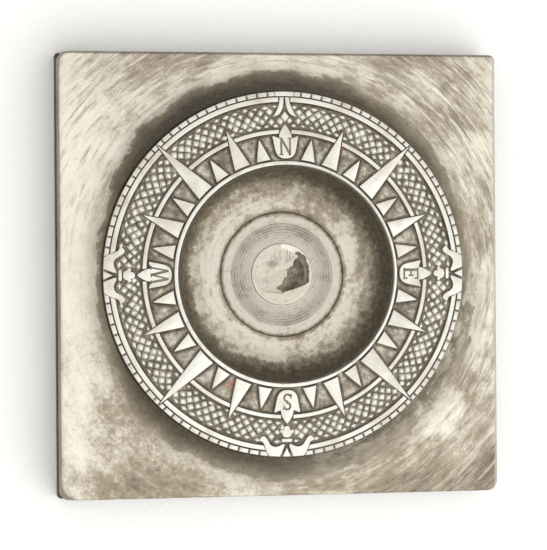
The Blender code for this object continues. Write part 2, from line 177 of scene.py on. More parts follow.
def spaced(start, end, step):
    """Evenly spaced values from start to end, about step apart."""
    return list(np.linspace(start, end, max(2, ceil(abs(end - start) / step) + 1)))


FILLET_SWEEP = radians(72)


def rising_fillet(foot, foot_z, lip, lip_z, steps):
    """Points of a concave, elliptical arc that leaves a flat face at foot and climbs to lip."""
    points = []
    for i in range(steps + 1):
        turn = FILLET_SWEEP * i / steps
        across = sin(turn) / sin(FILLET_SWEEP)
        up = (1 - cos(turn)) / (1 - cos(FILLET_SWEEP))
        points.append((foot + (lip - foot) * across, foot_z + (lip_z - foot_z) * up))
    return points


def ring_top(x, y):
    """Height of the ring's conical top over a point of the plan."""
    return RIM_Z - RING_SLOPE * (hypot(x, y) - RING_INNER)


def ring_point(radius, depth):
    """A (radius, z) point at a depth below the ring's conical top."""
    return radius, ring_top(radius, 0) - depth


def roughness_at(x, y, z, scale, depth=3):
    return noise.fractal(Vector((x, y, z)) * scale, 0.6, 2.0, depth)


# --- Outlines on the ring ---


def mirrored(half):
    """Closes a right-hand half outline, given from the foot up, with its mirror image."""
    return half + [(-across, out) for across, out in reversed(half) if across > 1e-9]


def on_ring(index, outline):
    """Moves (across, outward) points to their place at one of the 32 points, as (x, y)."""
    s, c = sin(tau * index / 32), cos(tau * index / 32)
    return [(out * s + across * c, out * c - across * s) for across, out in outline]


def signed_area(outline):
    pairs = zip(outline, outline[1:] + outline[:1])
    return sum(a[0] * b[1] - b[0] * a[1] for a, b in pairs) / 2


def anticlockwise(outline):
    return outline if signed_area(outline) > 0 else outline[::-1]


def offset(outline, distance, reach=3):
    """Moves an anticlockwise outline outward by a distance; a sharp corner moves reach times that at most."""
    moved = []
    count = len(outline)
    for i, here in enumerate(outline):
        before, after = Vector(outline[i - 1]), Vector(outline[(i + 1) % count])
        point = Vector(here)
        first, second = (point - before).normalized(), (after - point).normalized()
        bisector = Vector((first.y + second.y, -first.x - second.x))
        if bisector.length < 1e-6:
            moved.append(here)
            continue
        bisector.normalize()
        stretch = 1 / max(1 / reach, bisector.x * first.y - bisector.y * first.x)
        moved.append(tuple(point + bisector * (distance * stretch)))
    return moved


def relief_rows(depth, bevel):
    """The (offset, depth) steps of a raised motif's wall: a sloping foot, a wall and a rounded top edge."""
    return [
        (0.22 * MM, FLOOR_DEPTH + 0.4 * MM), (0.16 * MM, FLOOR_DEPTH - 0.2 * MM), (0.03 * MM, depth + bevel),
        (-0.35 * bevel, depth + 0.3 * bevel), (-bevel, depth),
    ]


def add_relief(verts, faces, outline, depth, bevel):
    """Stands one motif on the ring's floor, with its top at a depth below the ring's cone."""
    outline = anticlockwise(outline)
    start, count = len(verts), len(outline)
    rows = relief_rows(depth, bevel)
    for distance, down in rows:
        verts += [(x, y, ring_top(x, y) - down) for x, y in offset(outline, distance)]
    walls = loft_faces([outline] * len(rows), closed=False)
    faces += [tuple(start + v for v in face) for face in walls]
    faces += caps(start, count, len(verts) - count)


# --- The compass ring's motifs ---

LONG, MEDIUM, SMALL = "long", "medium", "small"
SPIKE_TIP = {LONG: 80.7 * MM, MEDIUM: 68.8 * MM, SMALL: 60.8 * MM}
SPIKE_HALF_WIDTH = {LONG: 3.95 * MM, MEDIUM: 3.55 * MM, SMALL: 3.05 * MM}
CUT = 0.5 * MM
TRACK_FIRST = radians(2.2)
TRACK_PITCH = radians(3.4)
TRACK_CUT = 0.86 * MM


def spike_kind(index):
    """The size of the rose's spike at each of the 32 points; the four cardinals carry shields instead."""
    if index % 8 == 0:
        return None
    if index % 8 == 4:
        return LONG
    return MEDIUM if index % 2 == 0 else SMALL


def spike_outline(kind):
    """A spike whose flanks swell a little and whose foot follows the rim."""
    half, tip = SPIKE_HALF_WIDTH[kind], SPIKE_TIP[kind]
    middle = (half * 0.52, SPIKE_FOOT + (tip - SPIKE_FOOT) * 0.5)
    sag = SPIKE_FOOT - 0.12 * MM
    return mirrored([(0, SPIKE_FOOT), (half * 0.5, SPIKE_FOOT - 0.03 * MM), (half, sag), middle, (0, tip)])


SHIELD = mirrored(millimetres([
    (0, 51.4), (1.4, 51.5), (2.6, 51.95), (3.5, 52.7), (4.15, 53.7), (4.6, 55), (5, 57), (5.4, 59.2),
    (5.85, 61.1), (5.3, 61.3), (4.2, 60.8), (3.1, 60.45), (2.75, 60.75), (2.7, 61.7), (2.4, 62.8),
    (1.75, 64.1), (0.85, 65.5), (0, 66.5),
]))
DIAMOND = mirrored(millimetres([(0, 67.7), (0.75, 68.7), (1.75, 70), (0.75, 71.3), (0, 72.3)]))
TREFOIL = mirrored(millimetres([
    (0, 67.4), (0.7, 67.6), (1.25, 68.2), (1.4, 68.9), (1.5, 69.5), (2.1, 69.1), (2.8, 69.2), (3.15, 69.8),
    (2.8, 70.5), (2.1, 70.8), (1.95, 71.6), (1.4, 72.3), (0.6, 72.55), (0, 72.6),
]))
BAR = mirrored(millimetres([
    (0, 73.2), (1.9, 73.2), (2.35, 73.45), (2.5, 73.9), (2.35, 74.35), (1.9, 74.6), (0, 74.6),
]))
RIM_POINT = mirrored(millimetres([(0, 77.2), (0.55, 78.4), (1.2, 79.9), (1.75, 81.1), (0, 81.15)]))
PETAL = millimetres([
    (1, 75.5), (2.2, 75.7), (3.5, 76.4), (5, 76.75), (6.4, 76.5), (7.5, 75.7), (8.2, 74.5), (9, 73.1),
    (9.9, 72.1), (10.9, 71.8), (11.9, 72.6), (12.6, 73.9), (11.6, 74.1), (10.7, 74.7), (10.2, 75.7),
    (9.8, 77.1), (9.2, 78.6), (8.4, 80), (7.8, 80.8), (5.6, 80.95), (3, 81.1), (2.4, 79.7), (1.8, 78.2),
    (1.2, 76.8),
])
KEYSTONE = mirrored(millimetres([(0, 79.3), (3.85, 79.2), (4.4, 81.05), (2.2, 81.15), (0, 81.2)]))
TENDRIL = millimetres([
    (0.35, 78.7), (1.2, 78.75), (2.15, 78.6), (2.2, 77.3), (2.45, 75.8), (3, 74.1), (3.8, 72.4), (4.7, 70.9),
    (5.5, 69.8), (4.4, 70.3), (3.2, 70.7), (2.3, 71.4), (1.5, 72.6), (0.9, 74.2), (0.5, 76.2),
])

# Half widths, by distance from the centre, that the bands leave free at a cardinal ornament.
NORTH_CLEAR = millimetres([(2.9, 62), (2.6, 64.6), (2.7, 76.4), (2.75, 79), (4.4, 79.5), (4.95, 81.4)])
OTHER_CLEAR = millimetres([(2.9, 62), (2.6, 64.6), (10.75, 76.2), (10.1, 77.6), (9.2, 79.4), (8.3, 81.4)])


def clearance(index, radius):
    """Half the width that a band leaves open at one of the 32 points, at a distance from the centre."""
    kind = spike_kind(index)
    if kind:
        reach = (SPIKE_TIP[kind] - radius) / (SPIKE_TIP[kind] - SPIKE_FOOT)
        return SPIKE_HALF_WIDTH[kind] * reach + CUT if reach > -0.01 else None
    table = NORTH_CLEAR if index == 0 else OTHER_CLEAR
    return float(np.interp(radius, [r for _, r in table], [w for w, _ in table]))


def arc_between(inner, outer, start, end):
    """A piece of a band between two edges, each edge a function of the radius that gives an angle."""
    outline = []
    for radius, first, last in ((inner, start, end), (outer, end, start)):
        a, b = first(radius), last(radius)
        steps = max(1, ceil(abs(b - a) / radians(1.6)))
        outline += [(radius * sin(a + (b - a) * i / steps), radius * cos(a + (b - a) * i / steps))
                    for i in range(steps + 1)]
    return outline


def edge_at(index, side, turn=0):
    """The edge of a band beside a motif: parallel to its flank, at the width of the cut."""
    return lambda radius: tau * index / 32 + side * asin((clearance(index, radius) or CUT) / radius) + turn


def radial_edge(angle):
    return lambda radius: angle


def band_outlines(inner, outer):
    """The arcs of one plain band, stopped at every motif that crosses it."""
    stops = [i for i in range(32) if clearance(i, (inner + outer) / 2) and clearance(i, inner)]
    outlines = []
    for here, following in zip(stops, stops[1:] + [stops[0] + 32]):
        end = edge_at(following % 32, -1, tau if following >= 32 else 0)
        outlines.append(arc_between(inner, outer, edge_at(here, 1), end))
    return outlines


def track_outlines():
    """The blocks of the outer track, cut at even steps each way from the four long spikes."""
    inner, outer = TRACK
    half = TRACK_CUT / 2 / outer
    outlines = []
    for axis in range(4, 32, 8):
        for side in (-1, 1):
            cardinal = (axis + 4 * side) % 32
            limit = pi / 4 - clearance(cardinal, outer) / outer - 1.2 * half
            cuts = [TRACK_FIRST + TRACK_PITCH * k for k in range(12)]
            cuts = [cut for cut in cuts if cut < limit]
            centre = tau * axis / 32
            starts = [edge_at(axis, side)] + [radial_edge(centre + side * (cut + half)) for cut in cuts]
            stops = [radial_edge(centre + side * (cut - half)) for cut in cuts]
            stops.append(edge_at(cardinal, -side, tau if cardinal == 0 and side == 1 else 0))
            outlines += [arc_between(inner, outer - 0.1 * MM, *edges) for edges in zip(starts, stops)]
    return outlines


def ornament_outlines(index):
    """Everything that stands on the ring at one cardinal point, apart from the shield."""
    whole, paired = ([DIAMOND, KEYSTONE], TENDRIL) if index == 0 else ([TREFOIL, BAR, RIM_POINT], PETAL)
    return [on_ring(index, shape) for shape in whole + [paired, [(-x, y) for x, y in paired]]]


# --- Letters ---

LETTER_CENTRE = 56.7 * MM
LETTER_DEPTH = 0.45 * MM


def stroke(start, end, width):
    """A straight stroke of a letter as a four-cornered outline."""
    a, b = Vector(start), Vector(end)
    along = (b - a).normalized()
    side = Vector((-along.y, along.x)) * (width / 2)
    return [tuple(a + side), tuple(b + side), tuple(b - side), tuple(a - side)]


def ess_strokes():
    """The letter S as a chain of short strokes along two joined bowls, with a serif at each end."""
    upper = [(1.35 * cos(radians(t)), 1.95 + 1.45 * sin(radians(t))) for t in range(20, 271, 25)]
    lower = [(1.5 * cos(radians(t)), -1.75 + 1.6 * sin(radians(t))) for t in range(90, -161, -25)]
    points = upper + [(0.15, 0.45)] + lower
    strokes = [stroke(a, b, 0.95) for a, b in zip(points, points[1:])]
    joints = [[(x + 0.47 * cos(t), y + 0.47 * sin(t)) for t in even_angles(8)] for x, y in points[1:-1]]
    serifs = [stroke((1.5, 1.5), (1.75, 3.6), 0.55), stroke((-1.75, -3.5), (-1.5, -1.4), 0.55)]
    return strokes + joints + serifs


def bars(*rows):
    """Straight strokes, each given as its two ends and its width."""
    return [stroke(row[:2], row[2:4], row[4]) for row in rows]


LETTERS = {
    0: bars(
        (-1.95, -3.8, -1.95, 3.8, 0.95), (1.95, -3.8, 1.95, 3.8, 0.8), (-2.1, 3.9, 2.1, -3.9, 1.1),
        (-2.95, -3.65, -0.95, -3.65, 0.5), (0.95, 3.65, 2.95, 3.65, 0.5), (-2.95, 3.65, -1.5, 3.65, 0.5),
    ),
    8: bars(
        (-1.6, -3.5, -1.6, 3.5, 1.25), (-2.5, 3.2, 2.3, 3.2, 0.8), (-2.5, -3.2, 2.4, -3.2, 0.8),
        (-1.6, 0, 0.7, 0, 0.8), (0.9, -1.2, 0.9, 1.2, 0.65), (2.15, 1.8, 2.25, 3.55, 0.75),
        (2.25, -3.55, 2.15, -1.7, 0.75),
    ),
    16: ess_strokes(),
    24: bars(
        (-3.2, 3.9, -1.75, -3.9, 1.05), (-1.75, -3.9, 0.1, 3.4, 0.7), (0, 3.9, 1.85, -3.9, 1.05),
        (1.85, -3.9, 3.3, 3.9, 0.7), (-4, 3.65, -2.3, 3.65, 0.5), (-0.9, 3.65, 0.8, 3.65, 0.5),
        (2.4, 3.65, 4.1, 3.65, 0.5),
    ),
}


def letter_outlines(index):
    placed = []
    for shape in LETTERS[index]:
        moved = [(x * MM, LETTER_CENTRE + y * MM) for x, y in shape]
        placed.append(anticlockwise(on_ring(index, moved)))
    return placed


def add_cutter(bm, outline, depth, overrun):
    """Adds a prism that reaches from a depth below the ring's cone to overrun above it."""
    lower = [bm.verts.new((x, y, ring_top(x, y) - depth)) for x, y in outline]
    upper = [bm.verts.new((x, y, ring_top(x, y) + overrun)) for x, y in outline]
    for i in range(len(outline)):
        j = (i + 1) % len(outline)
        bm.faces.new((lower[i], lower[j], upper[j], upper[i]))
    bm.faces.new(lower[::-1])
    bm.faces.new(upper)


def engraved_shields(material):
    """The four shields, each with its letter cut into its top."""
    verts, faces = [], []
    for index in LETTERS:
        add_relief(verts, faces, on_ring(index, SHIELD), *SHIELD_TOP)
    mesh = bpy.data.meshes.new("shields_uncut")
    mesh.from_pydata(verts, [], faces)
    cut = bmesh.new()
    strokes = [outline for index in LETTERS for outline in letter_outlines(index)]
    for count, outline in enumerate(strokes, 1):
        # Each stroke is a hair deeper than the last, so that no two floors lie in one plane.
        add_cutter(cut, outline, LETTER_DEPTH + count * 0.0005 * MM, MM)
    tool_mesh = bpy.data.meshes.new("letter_cutter")
    cut.to_mesh(tool_mesh)
    cut.free()
    shields, tool = link_new("shields_uncut", mesh), link_new("letter_cutter", tool_mesh)
    modifier = shields.modifiers.new("letters", "BOOLEAN")
    modifier.operation = "DIFFERENCE"
    modifier.object = tool
    modifier.use_self = True
    graph = bpy.context.evaluated_depsgraph_get()
    result = bpy.data.meshes.new_from_object(shields.evaluated_get(graph))
    bpy.data.objects.remove(shields)
    bpy.data.objects.remove(tool)
    return finish_piece("ring_shields", result, material, 25)


# --- Materials ---


def tone(*screen):
    """A colour given as screen values from 0 to 255, turned into the linear values that shaders take."""
    shares = [value / 255 for value in screen]
    return (*[v / 12.92 if v <= 0.04045 else ((v + 0.055) / 1.055) ** 2.4 for v in shares], 1)


CREAM = tone(232, 226, 208)
PALE = tone(212, 205, 188)
SILVER = tone(204, 199, 187)
STAIN = tone(152, 138, 117)
BROWN = tone(106, 95, 78)
UMBER = tone(136, 126, 108)
OLIVE = tone(101, 92, 76)
SOOT = tone(62, 56, 47)
DUST = tone(150, 142, 128)
WHITE_METAL = tone(226, 223, 213)
RUBBED = tone(233, 231, 222)
RUST = tone(128, 100, 66)
GREY = tone(146, 140, 130)
SLATE = tone(178, 175, 169)
RED_PAINT = tone(196, 70, 58)

# The factor by which noise is stretched about its middle, and the least radius that a bearing divides by.
CONTRAST = 2.3
CENTRE_GUARD = 0.5 * MM


class Shader:
    """A material's node tree, with short calls for the nodes that this file uses."""

    def __init__(self, name):
        self.material = bpy.data.materials.new(name)
        self.material.use_nodes = True
        self.tree = self.material.node_tree
        self.surface = self.tree.nodes["Principled BSDF"]
        self.place = self.tree.nodes.new("ShaderNodeTexCoord").outputs["Object"]
        split = self.tree.nodes.new("ShaderNodeSeparateXYZ")
        self.tree.links.new(self.place, split.inputs[0])
        self.x, self.y, self.z = split.outputs
        self.radius = self.length(self.x, self.y)
        # Height over the compass ring's conical top: zero on the cone and minus a millimetre on its floor.
        self.level = self.less(self.add(self.z, (self.less(self.radius, RING_INNER), RING_SLOPE)), RIM_Z)

    def node(self, kind, feeds, output=0, **settings):
        made = self.tree.nodes.new(kind)
        for key, value in settings.items():
            setattr(made, key, value)
        for key, value in feeds.items():
            self.feed(made.inputs[key], value)
        return made.outputs[output]

    def feed(self, socket, value):
        if isinstance(value, bpy.types.NodeSocket):
            self.tree.links.new(value, socket)
        else:
            socket.default_value = value

    def math(self, operation, a, b=0):
        return self.node("ShaderNodeMath", {0: a, 1: b}, operation=operation)

    def times(self, a, b):
        return self.math("MULTIPLY", a, b)

    def less(self, a, b):
        return self.math("SUBTRACT", a, b)

    def most(self, a, b):
        return self.math("MAXIMUM", a, b)

    def add(self, *terms):
        """A sum, in which a term may be a (value, factor) pair."""
        values = [self.times(*term) if isinstance(term, tuple) else term for term in terms]
        total = values[0]
        for value in values[1:]:
            total = self.math("ADD", total, value)
        return total

    def length(self, x, y):
        return self.math("SQRT", self.add((x, x), (y, y)))

    def about(self, value, factor):
        """A noise's swing either side of its middle, times a factor."""
        return self.times(self.less(value, 0.5), factor)

    def noise(self, scale, detail=4, rough=0.55, place=None, distortion=0):
        """Fractal noise about 0.5, with its contrast raised so that it fills the range from 0 to 1."""
        feeds = {"Vector": place or self.place, "Scale": scale, "Detail": detail, "Roughness": rough,
                 "Distortion": distortion}
        plain = self.node("ShaderNodeTexNoise", feeds)
        feeds = {0: plain, 1: CONTRAST, 2: 0.5 - 0.5 * CONTRAST}
        return self.node("ShaderNodeMath", feeds, operation="MULTIPLY_ADD")

    def stretched(self, x, y, z, detail=3, rough=0.6):
        """Noise over three given coordinates."""
        return self.noise(1, detail, rough, self.node("ShaderNodeCombineXYZ", {0: x, 1: y, 2: z}))

    def brushed(self, x, y, z, detail=3, rough=0.6):
        """Noise with its own scale along each axis."""
        scaled = [self.times(*pair) for pair in ((self.x, x), (self.y, y), (self.z, z))]
        return self.stretched(*scaled, detail, rough)

    def turned(self, along, across, detail=3, rough=0.6):
        """Noise stretched round the dial: slow along its circles, fast across them."""
        safe = self.most(self.radius, CENTRE_GUARD)
        around = [self.times(self.math("DIVIDE", v, safe), along) for v in (self.x, self.y)]
        return self.stretched(*around, self.times(self.radius, across), detail, rough)

    def stored(self, name):
        """A value that the mesh carries on its points."""
        return self.node("ShaderNodeAttribute", {}, "Fac", attribute_name=name)

    def step(self, value, low, high, start=0, end=1):
        """A smooth, clamped climb from start to end as value goes from low to high."""
        feeds = {0: value, 1: low, 2: high, 3: start, 4: end}
        return self.node("ShaderNodeMapRange", feeds, interpolation_type="SMOOTHSTEP")

    def fade(self, value, low, high):
        return self.step(value, low, high, 1, 0)

    def between(self, factor, first, second):
        return self.node("ShaderNodeMix", {0: factor, 2: first, 3: second})

    def mix(self, factor, first, second):
        return self.node("ShaderNodeMix", {0: factor, 6: first, 7: second}, 2, data_type="RGBA")

    def over(self, colour, paint, value, low, high, most=1):
        """Paints over a colour as value goes from low to high, with a strength of most at high."""
        return self.mix(self.step(value, low, high, 0, most), colour, paint)

    def toward(self, bearing, spread):
        """1 along a compass bearing from the centre and 0 beyond spread either side; both in degrees."""
        turn = radians(bearing)
        along = self.add((self.x, sin(turn)), (self.y, cos(turn)))
        cosine = self.math("DIVIDE", along, self.most(self.radius, CENTRE_GUARD))
        return self.step(cosine, cos(radians(spread)), 1)

    def blot(self, x, y, size, softness=0.5):
        """1 at a spot on the plan and 0 beyond its size, all in millimetres."""
        distance = self.length(self.less(self.x, x * MM), self.less(self.y, y * MM))
        return self.fade(distance, size * MM * softness, size * MM)

    def blots(self, *rows):
        """A sum of spots, each row the values of its blot and then its weight."""
        return self.add(*[(self.blot(*row[:-1]), row[-1]) for row in rows])

    def finish(self, colour, roughness, metallic, height, depth):
        """Wires up the surface, with a bump of the given depth in millimetres."""
        bump = self.node("ShaderNodeBump", {"Height": height, "Distance": depth * MM, "Strength": 1})
        feeds = {"Base Color": colour, "Roughness": roughness, "Metallic": metallic, "Normal": bump}
        for name, value in feeds.items():
            self.feed(self.surface.inputs[name], value)
        return self.material


def ragged_edge(s, fine, amount, scale=60):
    """A length that wanders either side of zero, for the broken edge of a film."""
    wander = s.noise(scale, 5, 0.62)
    drag = s.turned(12, 260, 4, 0.7)
    return s.about(s.add((wander, 0.4), (drag, 0.25), (fine, 0.35)), amount)


def worn_metal(s, stained, streak, grit, bright, streaking):
    """Pale rubbed metal: stains where stained is high, with dark and bright turning streaks."""
    colour = s.over(bright, PALE, stained, 0.25, 0.6)
    colour = s.over(colour, STAIN, stained, 0.5, 0.82, 0.9)
    colour = s.over(colour, BROWN, stained, 0.76, 1.1, 0.85)
    colour = s.mix(s.times(s.step(streak, 0.55, 0.85), streaking), colour, GREY)
    colour = s.mix(s.times(s.step(streak, 0.42, 0.2), streaking), colour, WHITE_METAL)
    return s.over(colour, BROWN, grit, 0.78, 1.05, 0.55)


def film_over(s, colour, density, closeness, fine, grit):
    """Lays an olive-brown film over metal: thin where density is low, and darkest where closeness is 1."""
    film = s.over(UMBER, OLIVE, s.add(closeness, s.about(fine, 1.1)), 0.05, 0.85)
    film = s.over(film, SOOT, s.add(closeness, s.about(fine, 0.8)), 0.7, 1.35, 0.92)
    film = s.over(film, RUST, grit, 0.66, 0.92, 0.75)
    film = s.over(film, SOOT, grit, 0.3, 0.05, 0.7)
    return s.mix(density, colour, film)


def dial_material():
    """The dial plate: cream metal turned on a lathe, stained toward its edges, with a film in the cove;
    painted shade and light on the cove's film and on the north and east edges, and a painted highlight
    outside the cove.
    """
    s = Shader("dial_metal_aged")
    streak = s.turned(7, 560, 4, 0.7)
    broad = s.turned(5, 130)
    cloud = s.noise(24, 5, 0.6, distortion=0.4)
    blotch = s.noise(95, 5, 0.65)
    even = s.noise(420, 6, 0.82)
    fine = s.between(s.toward(225, 60), s.turned(11, 480, 6, 0.78), even)
    grit = s.noise(1000, 3, 0.6)

    # Where the stains gather: the north and south edges, and every corner but the north-west one.
    half = DIAL_HALF
    places = s.add(
        s.blots((60, 76, 36, 0.16), (88, 78, 24, 0.12), (90, 24, 26, 0.14), (78, -84, 56, 0.17),
                (-78, -70, 66, 0.17), (-62, 88, 42, 0.08), (96, -20, 30, -0.06), (72, -62, 16, -0.3)),
        (s.step(s.y, half - 22 * MM, half - 3 * MM), 0.1), (s.toward(312, 28), 0.07),
        (s.step(s.y, -half + 24 * MM, -half + 2 * MM), 0.2), (s.toward(120, 40), 0.03),
        (s.step(s.x, -half + 22 * MM, -half + 6 * MM), -0.23), -0.02,
    )
    speck = s.noise(900, 4, 0.75)
    stained = s.add((cloud, 0.3), (blotch, 0.18), (fine, 0.42), (speck, 0.14), s.about(broad, 0.24))
    streaking = s.add((s.most(s.toward(75, 85), s.toward(315, 40)), 0.5), 0.15)
    colour = worn_metal(s, s.add(stained, places), streak, grit, CREAM, streaking)
    arcs = s.turned(2.4, 640, 3, 0.7)
    turned_side = s.times(s.toward(50, 120), s.step(s.radius, 93 * MM, 97 * MM))
    colour = s.mix(s.times(turned_side, s.step(arcs, 0.74, 0.9, 0, 0.75)), colour, BROWN)
    colour = s.mix(s.times(turned_side, s.step(arcs, 0.26, 0.12, 0, 0.8)), colour, CREAM)

    # A painted highlight: a bright turned line just outside the cove, strongest toward the north-west.
    painted_highlight_line = s.fade(s.math("ABSOLUTE", s.less(s.radius, 93.2 * MM)), 0.2 * MM, 1.6 * MM)
    colour = s.mix(s.times(painted_highlight_line, s.times(s.toward(315, 70), 0.55)), colour, WHITE_METAL)

    # The cove's film reaches less far at the west and the east, and is worn thin at the south-east.
    short = s.add((s.toward(272, 46), 6.6 * MM), (s.toward(80, 34), 3.2 * MM), (s.toward(150, 70), -1.6 * MM))
    inside = s.add(s.radius, ragged_edge(s, fine, 9.5 * MM), short)
    worn = s.times(s.toward(120, 70), s.step(s.add(fine, blotch), 0.75, 1.35, 0, 0.7))
    density = s.times(s.fade(inside, 89.7 * MM, 92 * MM), s.less(1, worn))
    density = s.most(density, s.step(inside, 89 * MM, 97 * MM, 0.35, 0))
    # The film is darkest next to the ring; its bearing terms add painted shade toward the north-west and
    # painted light toward the east.
    closeness = s.add(s.step(inside, 83 * MM, 91.5 * MM, 1.15, 0.15), (s.toward(325, 62), 0.34),
                      (s.toward(100, 95), -0.32))
    colour = film_over(s, colour, density, closeness, fine, grit)

    # Painted shade on the north edge, which faces away from the light, painted light grey on the east edge,
    # which faces it, and the pit at the north-east corner.
    jitter = s.about(even, 0.6 * MM)
    colour = s.over(colour, OLIVE, s.add(s.y, jitter), half - 1.5 * MM, half - 0.8 * MM, 0.75)
    colour = s.over(colour, SLATE, s.add(s.x, jitter), half - 1.9 * MM, half - 0.9 * MM, 0.8)
    colour = s.mix(s.times(s.blot(96.2, 96.6, 2.4, 0.1), s.step(even, 0.3, 0.6)), colour, OLIVE)

    milled = s.brushed(45, 45, 620, 4, 0.7)
    tarnish = s.add((milled, 0.45), (cloud, 0.4), (even, 0.25))
    wall = s.over(DUST, UMBER, tarnish, 0.25, 0.6)
    wall = s.over(wall, OLIVE, tarnish, 0.55, 0.95)
    wall = s.over(wall, PALE, grit, 0.72, 1, 0.6)
    sides = s.fade(s.z, FACE_Z - 0.9 * MM, FACE_Z - 0.2 * MM)
    height = s.add((s.between(sides, streak, milled), 0.6), (grit, 0.4), (even, 0.8))
    rough = s.step(stained, 0.35, 0.8, 0.46, 0.62)
    return s.finish(s.mix(sides, colour, wall), rough, s.step(density, 0, 1, 0.35, 0.15), height, 0.07)


def dish_material():
    """The bowl: a mottled floor, and a dark film up its fillet and in its joint with the disc."""
    s = Shader("dish_metal_aged")
    streak = s.turned(6, 420, 3, 0.65)
    cloud = s.noise(45, 5, 0.6, distortion=0.4)
    fine = s.noise(360, 6, 0.78)
    grit = s.noise(1100, 3, 0.6)
    places = s.add((s.toward(60, 70), 0.13), s.step(s.radius, 34 * MM, 41 * MM, 0, 0.14),
                   (s.toward(250, 80), -0.05), s.step(s.radius, 28.4 * MM, 30.5 * MM, 0.3, 0))
    stained = s.add((cloud, 0.45), (fine, 0.5), s.about(streak, 0.16), 0.06, places)
    colour = worn_metal(s, stained, streak, grit, SILVER, 0.15)
    early = s.add((s.toward(180, 40), 2 * MM), (s.toward(38, 40), 1.6 * MM))
    inside = s.add(s.radius, ragged_edge(s, fine, 8 * MM, 75), early)
    density = s.step(inside, 39.8 * MM, 42.2 * MM)
    haze = s.step(inside, 34 * MM, 40 * MM, 0, 0.3)
    closeness = s.step(inside, 40 * MM, 47 * MM, 0.12, 1.1)
    colour = film_over(s, colour, s.most(density, haze), closeness, fine, grit)
    height = s.add((streak, 0.4), (grit, 0.5), (fine, 0.8))
    rough = s.step(stained, 0.35, 0.8, 0.44, 0.6)
    return s.finish(colour, rough, s.step(density, 0, 1, 0.35, 0.15), height, 0.07)


def disc_material():
    """The disc: a pale outer band, a greyer grooved field, and brown film on its shoulder."""
    s = Shader("disc_metal_aged")
    streak = s.turned(5, 900, 3, 0.65)
    cloud = s.noise(60, 5, 0.62)
    fine = s.noise(380, 6, 0.75)
    grit = s.noise(1100, 3, 0.6)
    stained = s.add((cloud, 0.38), (fine, 0.46), s.about(streak, 0.2), 0.06)
    patches = s.add(fine, cloud)
    colour = s.mix(0.22, worn_metal(s, stained, streak, grit, SILVER, 0.25), GREY)
    field = s.step(s.add(s.radius, s.about(fine, 0.7 * MM)), 21.9 * MM, 24 * MM, 0.85, 0)
    field = s.times(field, s.step(s.radius, 14.5 * MM, 21.4 * MM, 0.3, 1))
    colour = s.mix(s.times(field, s.step(patches, 0.5, 1.5, 0.6, 1)), colour, GREY)
    groove = s.step(s.z, DISC_TOP - 0.12 * MM, DISC_TOP - 0.03 * MM, 0.62, 0)
    groove = s.times(groove, s.step(patches, 0.65, 1.35, 0.15, 1))
    groove = s.times(groove, s.fade(s.radius, 24 * MM, 24.4 * MM))
    shoulder = s.step(s.add(s.radius, s.about(fine, 1 * MM)), 26 * MM, 27.9 * MM)
    colour = film_over(s, colour, s.most(groove, shoulder), 0.75, fine, grit)
    height = s.add((streak, 0.4), (grit, 0.3))
    return s.finish(colour, s.step(stained, 0.35, 0.8, 0.4, 0.56), 0.35, height, 0.05)


# Traces of red marking paint on the ring, as (x, y, size) in millimetres from the dial's centre.
PAINT_SPECKS = (
    (26.3, 56.4, 1), (25.7, 57.8, 0.8), (-27, -49.9, 1), (-26, -49, 0.9), (-24.9, -48, 0.8),
    (-23.9, -47.2, 0.8),
)


def paint_specks(s, colour, grit):
    """Adds the traces of paint, thin where the grit noise is low."""
    for speck in PAINT_SPECKS:
        spot = s.times(s.blot(*speck), s.step(grit, 0.2, 0.6))
        colour = s.mix(s.times(spot, 0.75), colour, RED_PAINT)
    return colour


def relief_material(name, bright=RUBBED, dull=PALE):
    """The ring's motifs: rubbed bright on top, dark down their walls."""
    s = Shader(name)
    cloud = s.noise(70, 6, 0.64)
    grit = s.noise(1100, 3, 0.6)
    face = s.over(bright, dull, cloud, 0.35, 0.95)
    # Painted shade: the metal is greyer toward the south-east, where the light falls strongest.
    face = s.mix(s.times(s.toward(135, 80), 0.4), face, SLATE)
    face = s.over(face, GREY, s.turned(60, 900), 0.7, 1, 0.35)
    face = s.over(face, STAIN, grit, 0.8, 1.1, 0.4)
    top = s.step(s.level, -0.42 * MM, -0.18 * MM)
    colour = paint_specks(s, s.mix(top, s.over(OLIVE, UMBER, cloud, 0.3, 0.7), face), grit)
    height = s.add((cloud, 0.5), (grit, 0.3))
    return s.finish(colour, s.step(cloud, 0.35, 0.7, 0.38, 0.5), s.step(top, 0, 1, 0.1, 0.3), height, 0.08)


def ring_body_material():
    """The ring's body: bright rim, and a floor that is darkest in the cuts beside the motifs."""
    s = Shader("ring_body_metal")
    cloud = s.noise(170, 6, 0.66)
    grit = s.noise(1300, 3, 0.6)
    fine = s.noise(420, 5, 0.75)
    lit = s.add(s.stored("open_floor"), s.about(cloud, 0.9), s.about(fine, 0.7), -0.03)
    floor = s.over(SOOT, BROWN, lit, 0.05, 0.5)
    floor = s.over(floor, DUST, lit, 0.6, 1.05)
    floor = s.over(floor, PALE, lit, 0.95, 1.35, 0.8)
    floor = s.over(floor, SOOT, grit, 0.7, 1, 0.4)
    top = s.step(s.level, -0.55 * MM, -0.15 * MM)
    top = s.times(top, s.fade(s.radius, RIM_OUTER - 0.05 * MM, RIM_OUTER + 0.1 * MM))
    # Painted shade on the rim's inner side toward the east, which faces away from the light.
    inward = s.less(s.add(s.radius, s.about(fine, 0.12 * MM)), RING_INNER)
    painted_rim_shade = s.times(s.toward(85, 110), s.fade(inward, 0.45 * MM, 0.85 * MM))
    bright = s.over(s.over(RUBBED, PALE, cloud, 0.45, 0.9), OLIVE, painted_rim_shade, 0.1, 0.6, 0.75)
    colour = paint_specks(s, s.mix(top, floor, bright), grit)
    rough = s.step(cloud, 0.35, 0.7, 0.42, 0.58)
    height = s.add((cloud, 0.8), (grit, 0.5))
    return s.finish(colour, rough, s.step(top, 0, 1, 0.15, 0.4), height, 0.16)


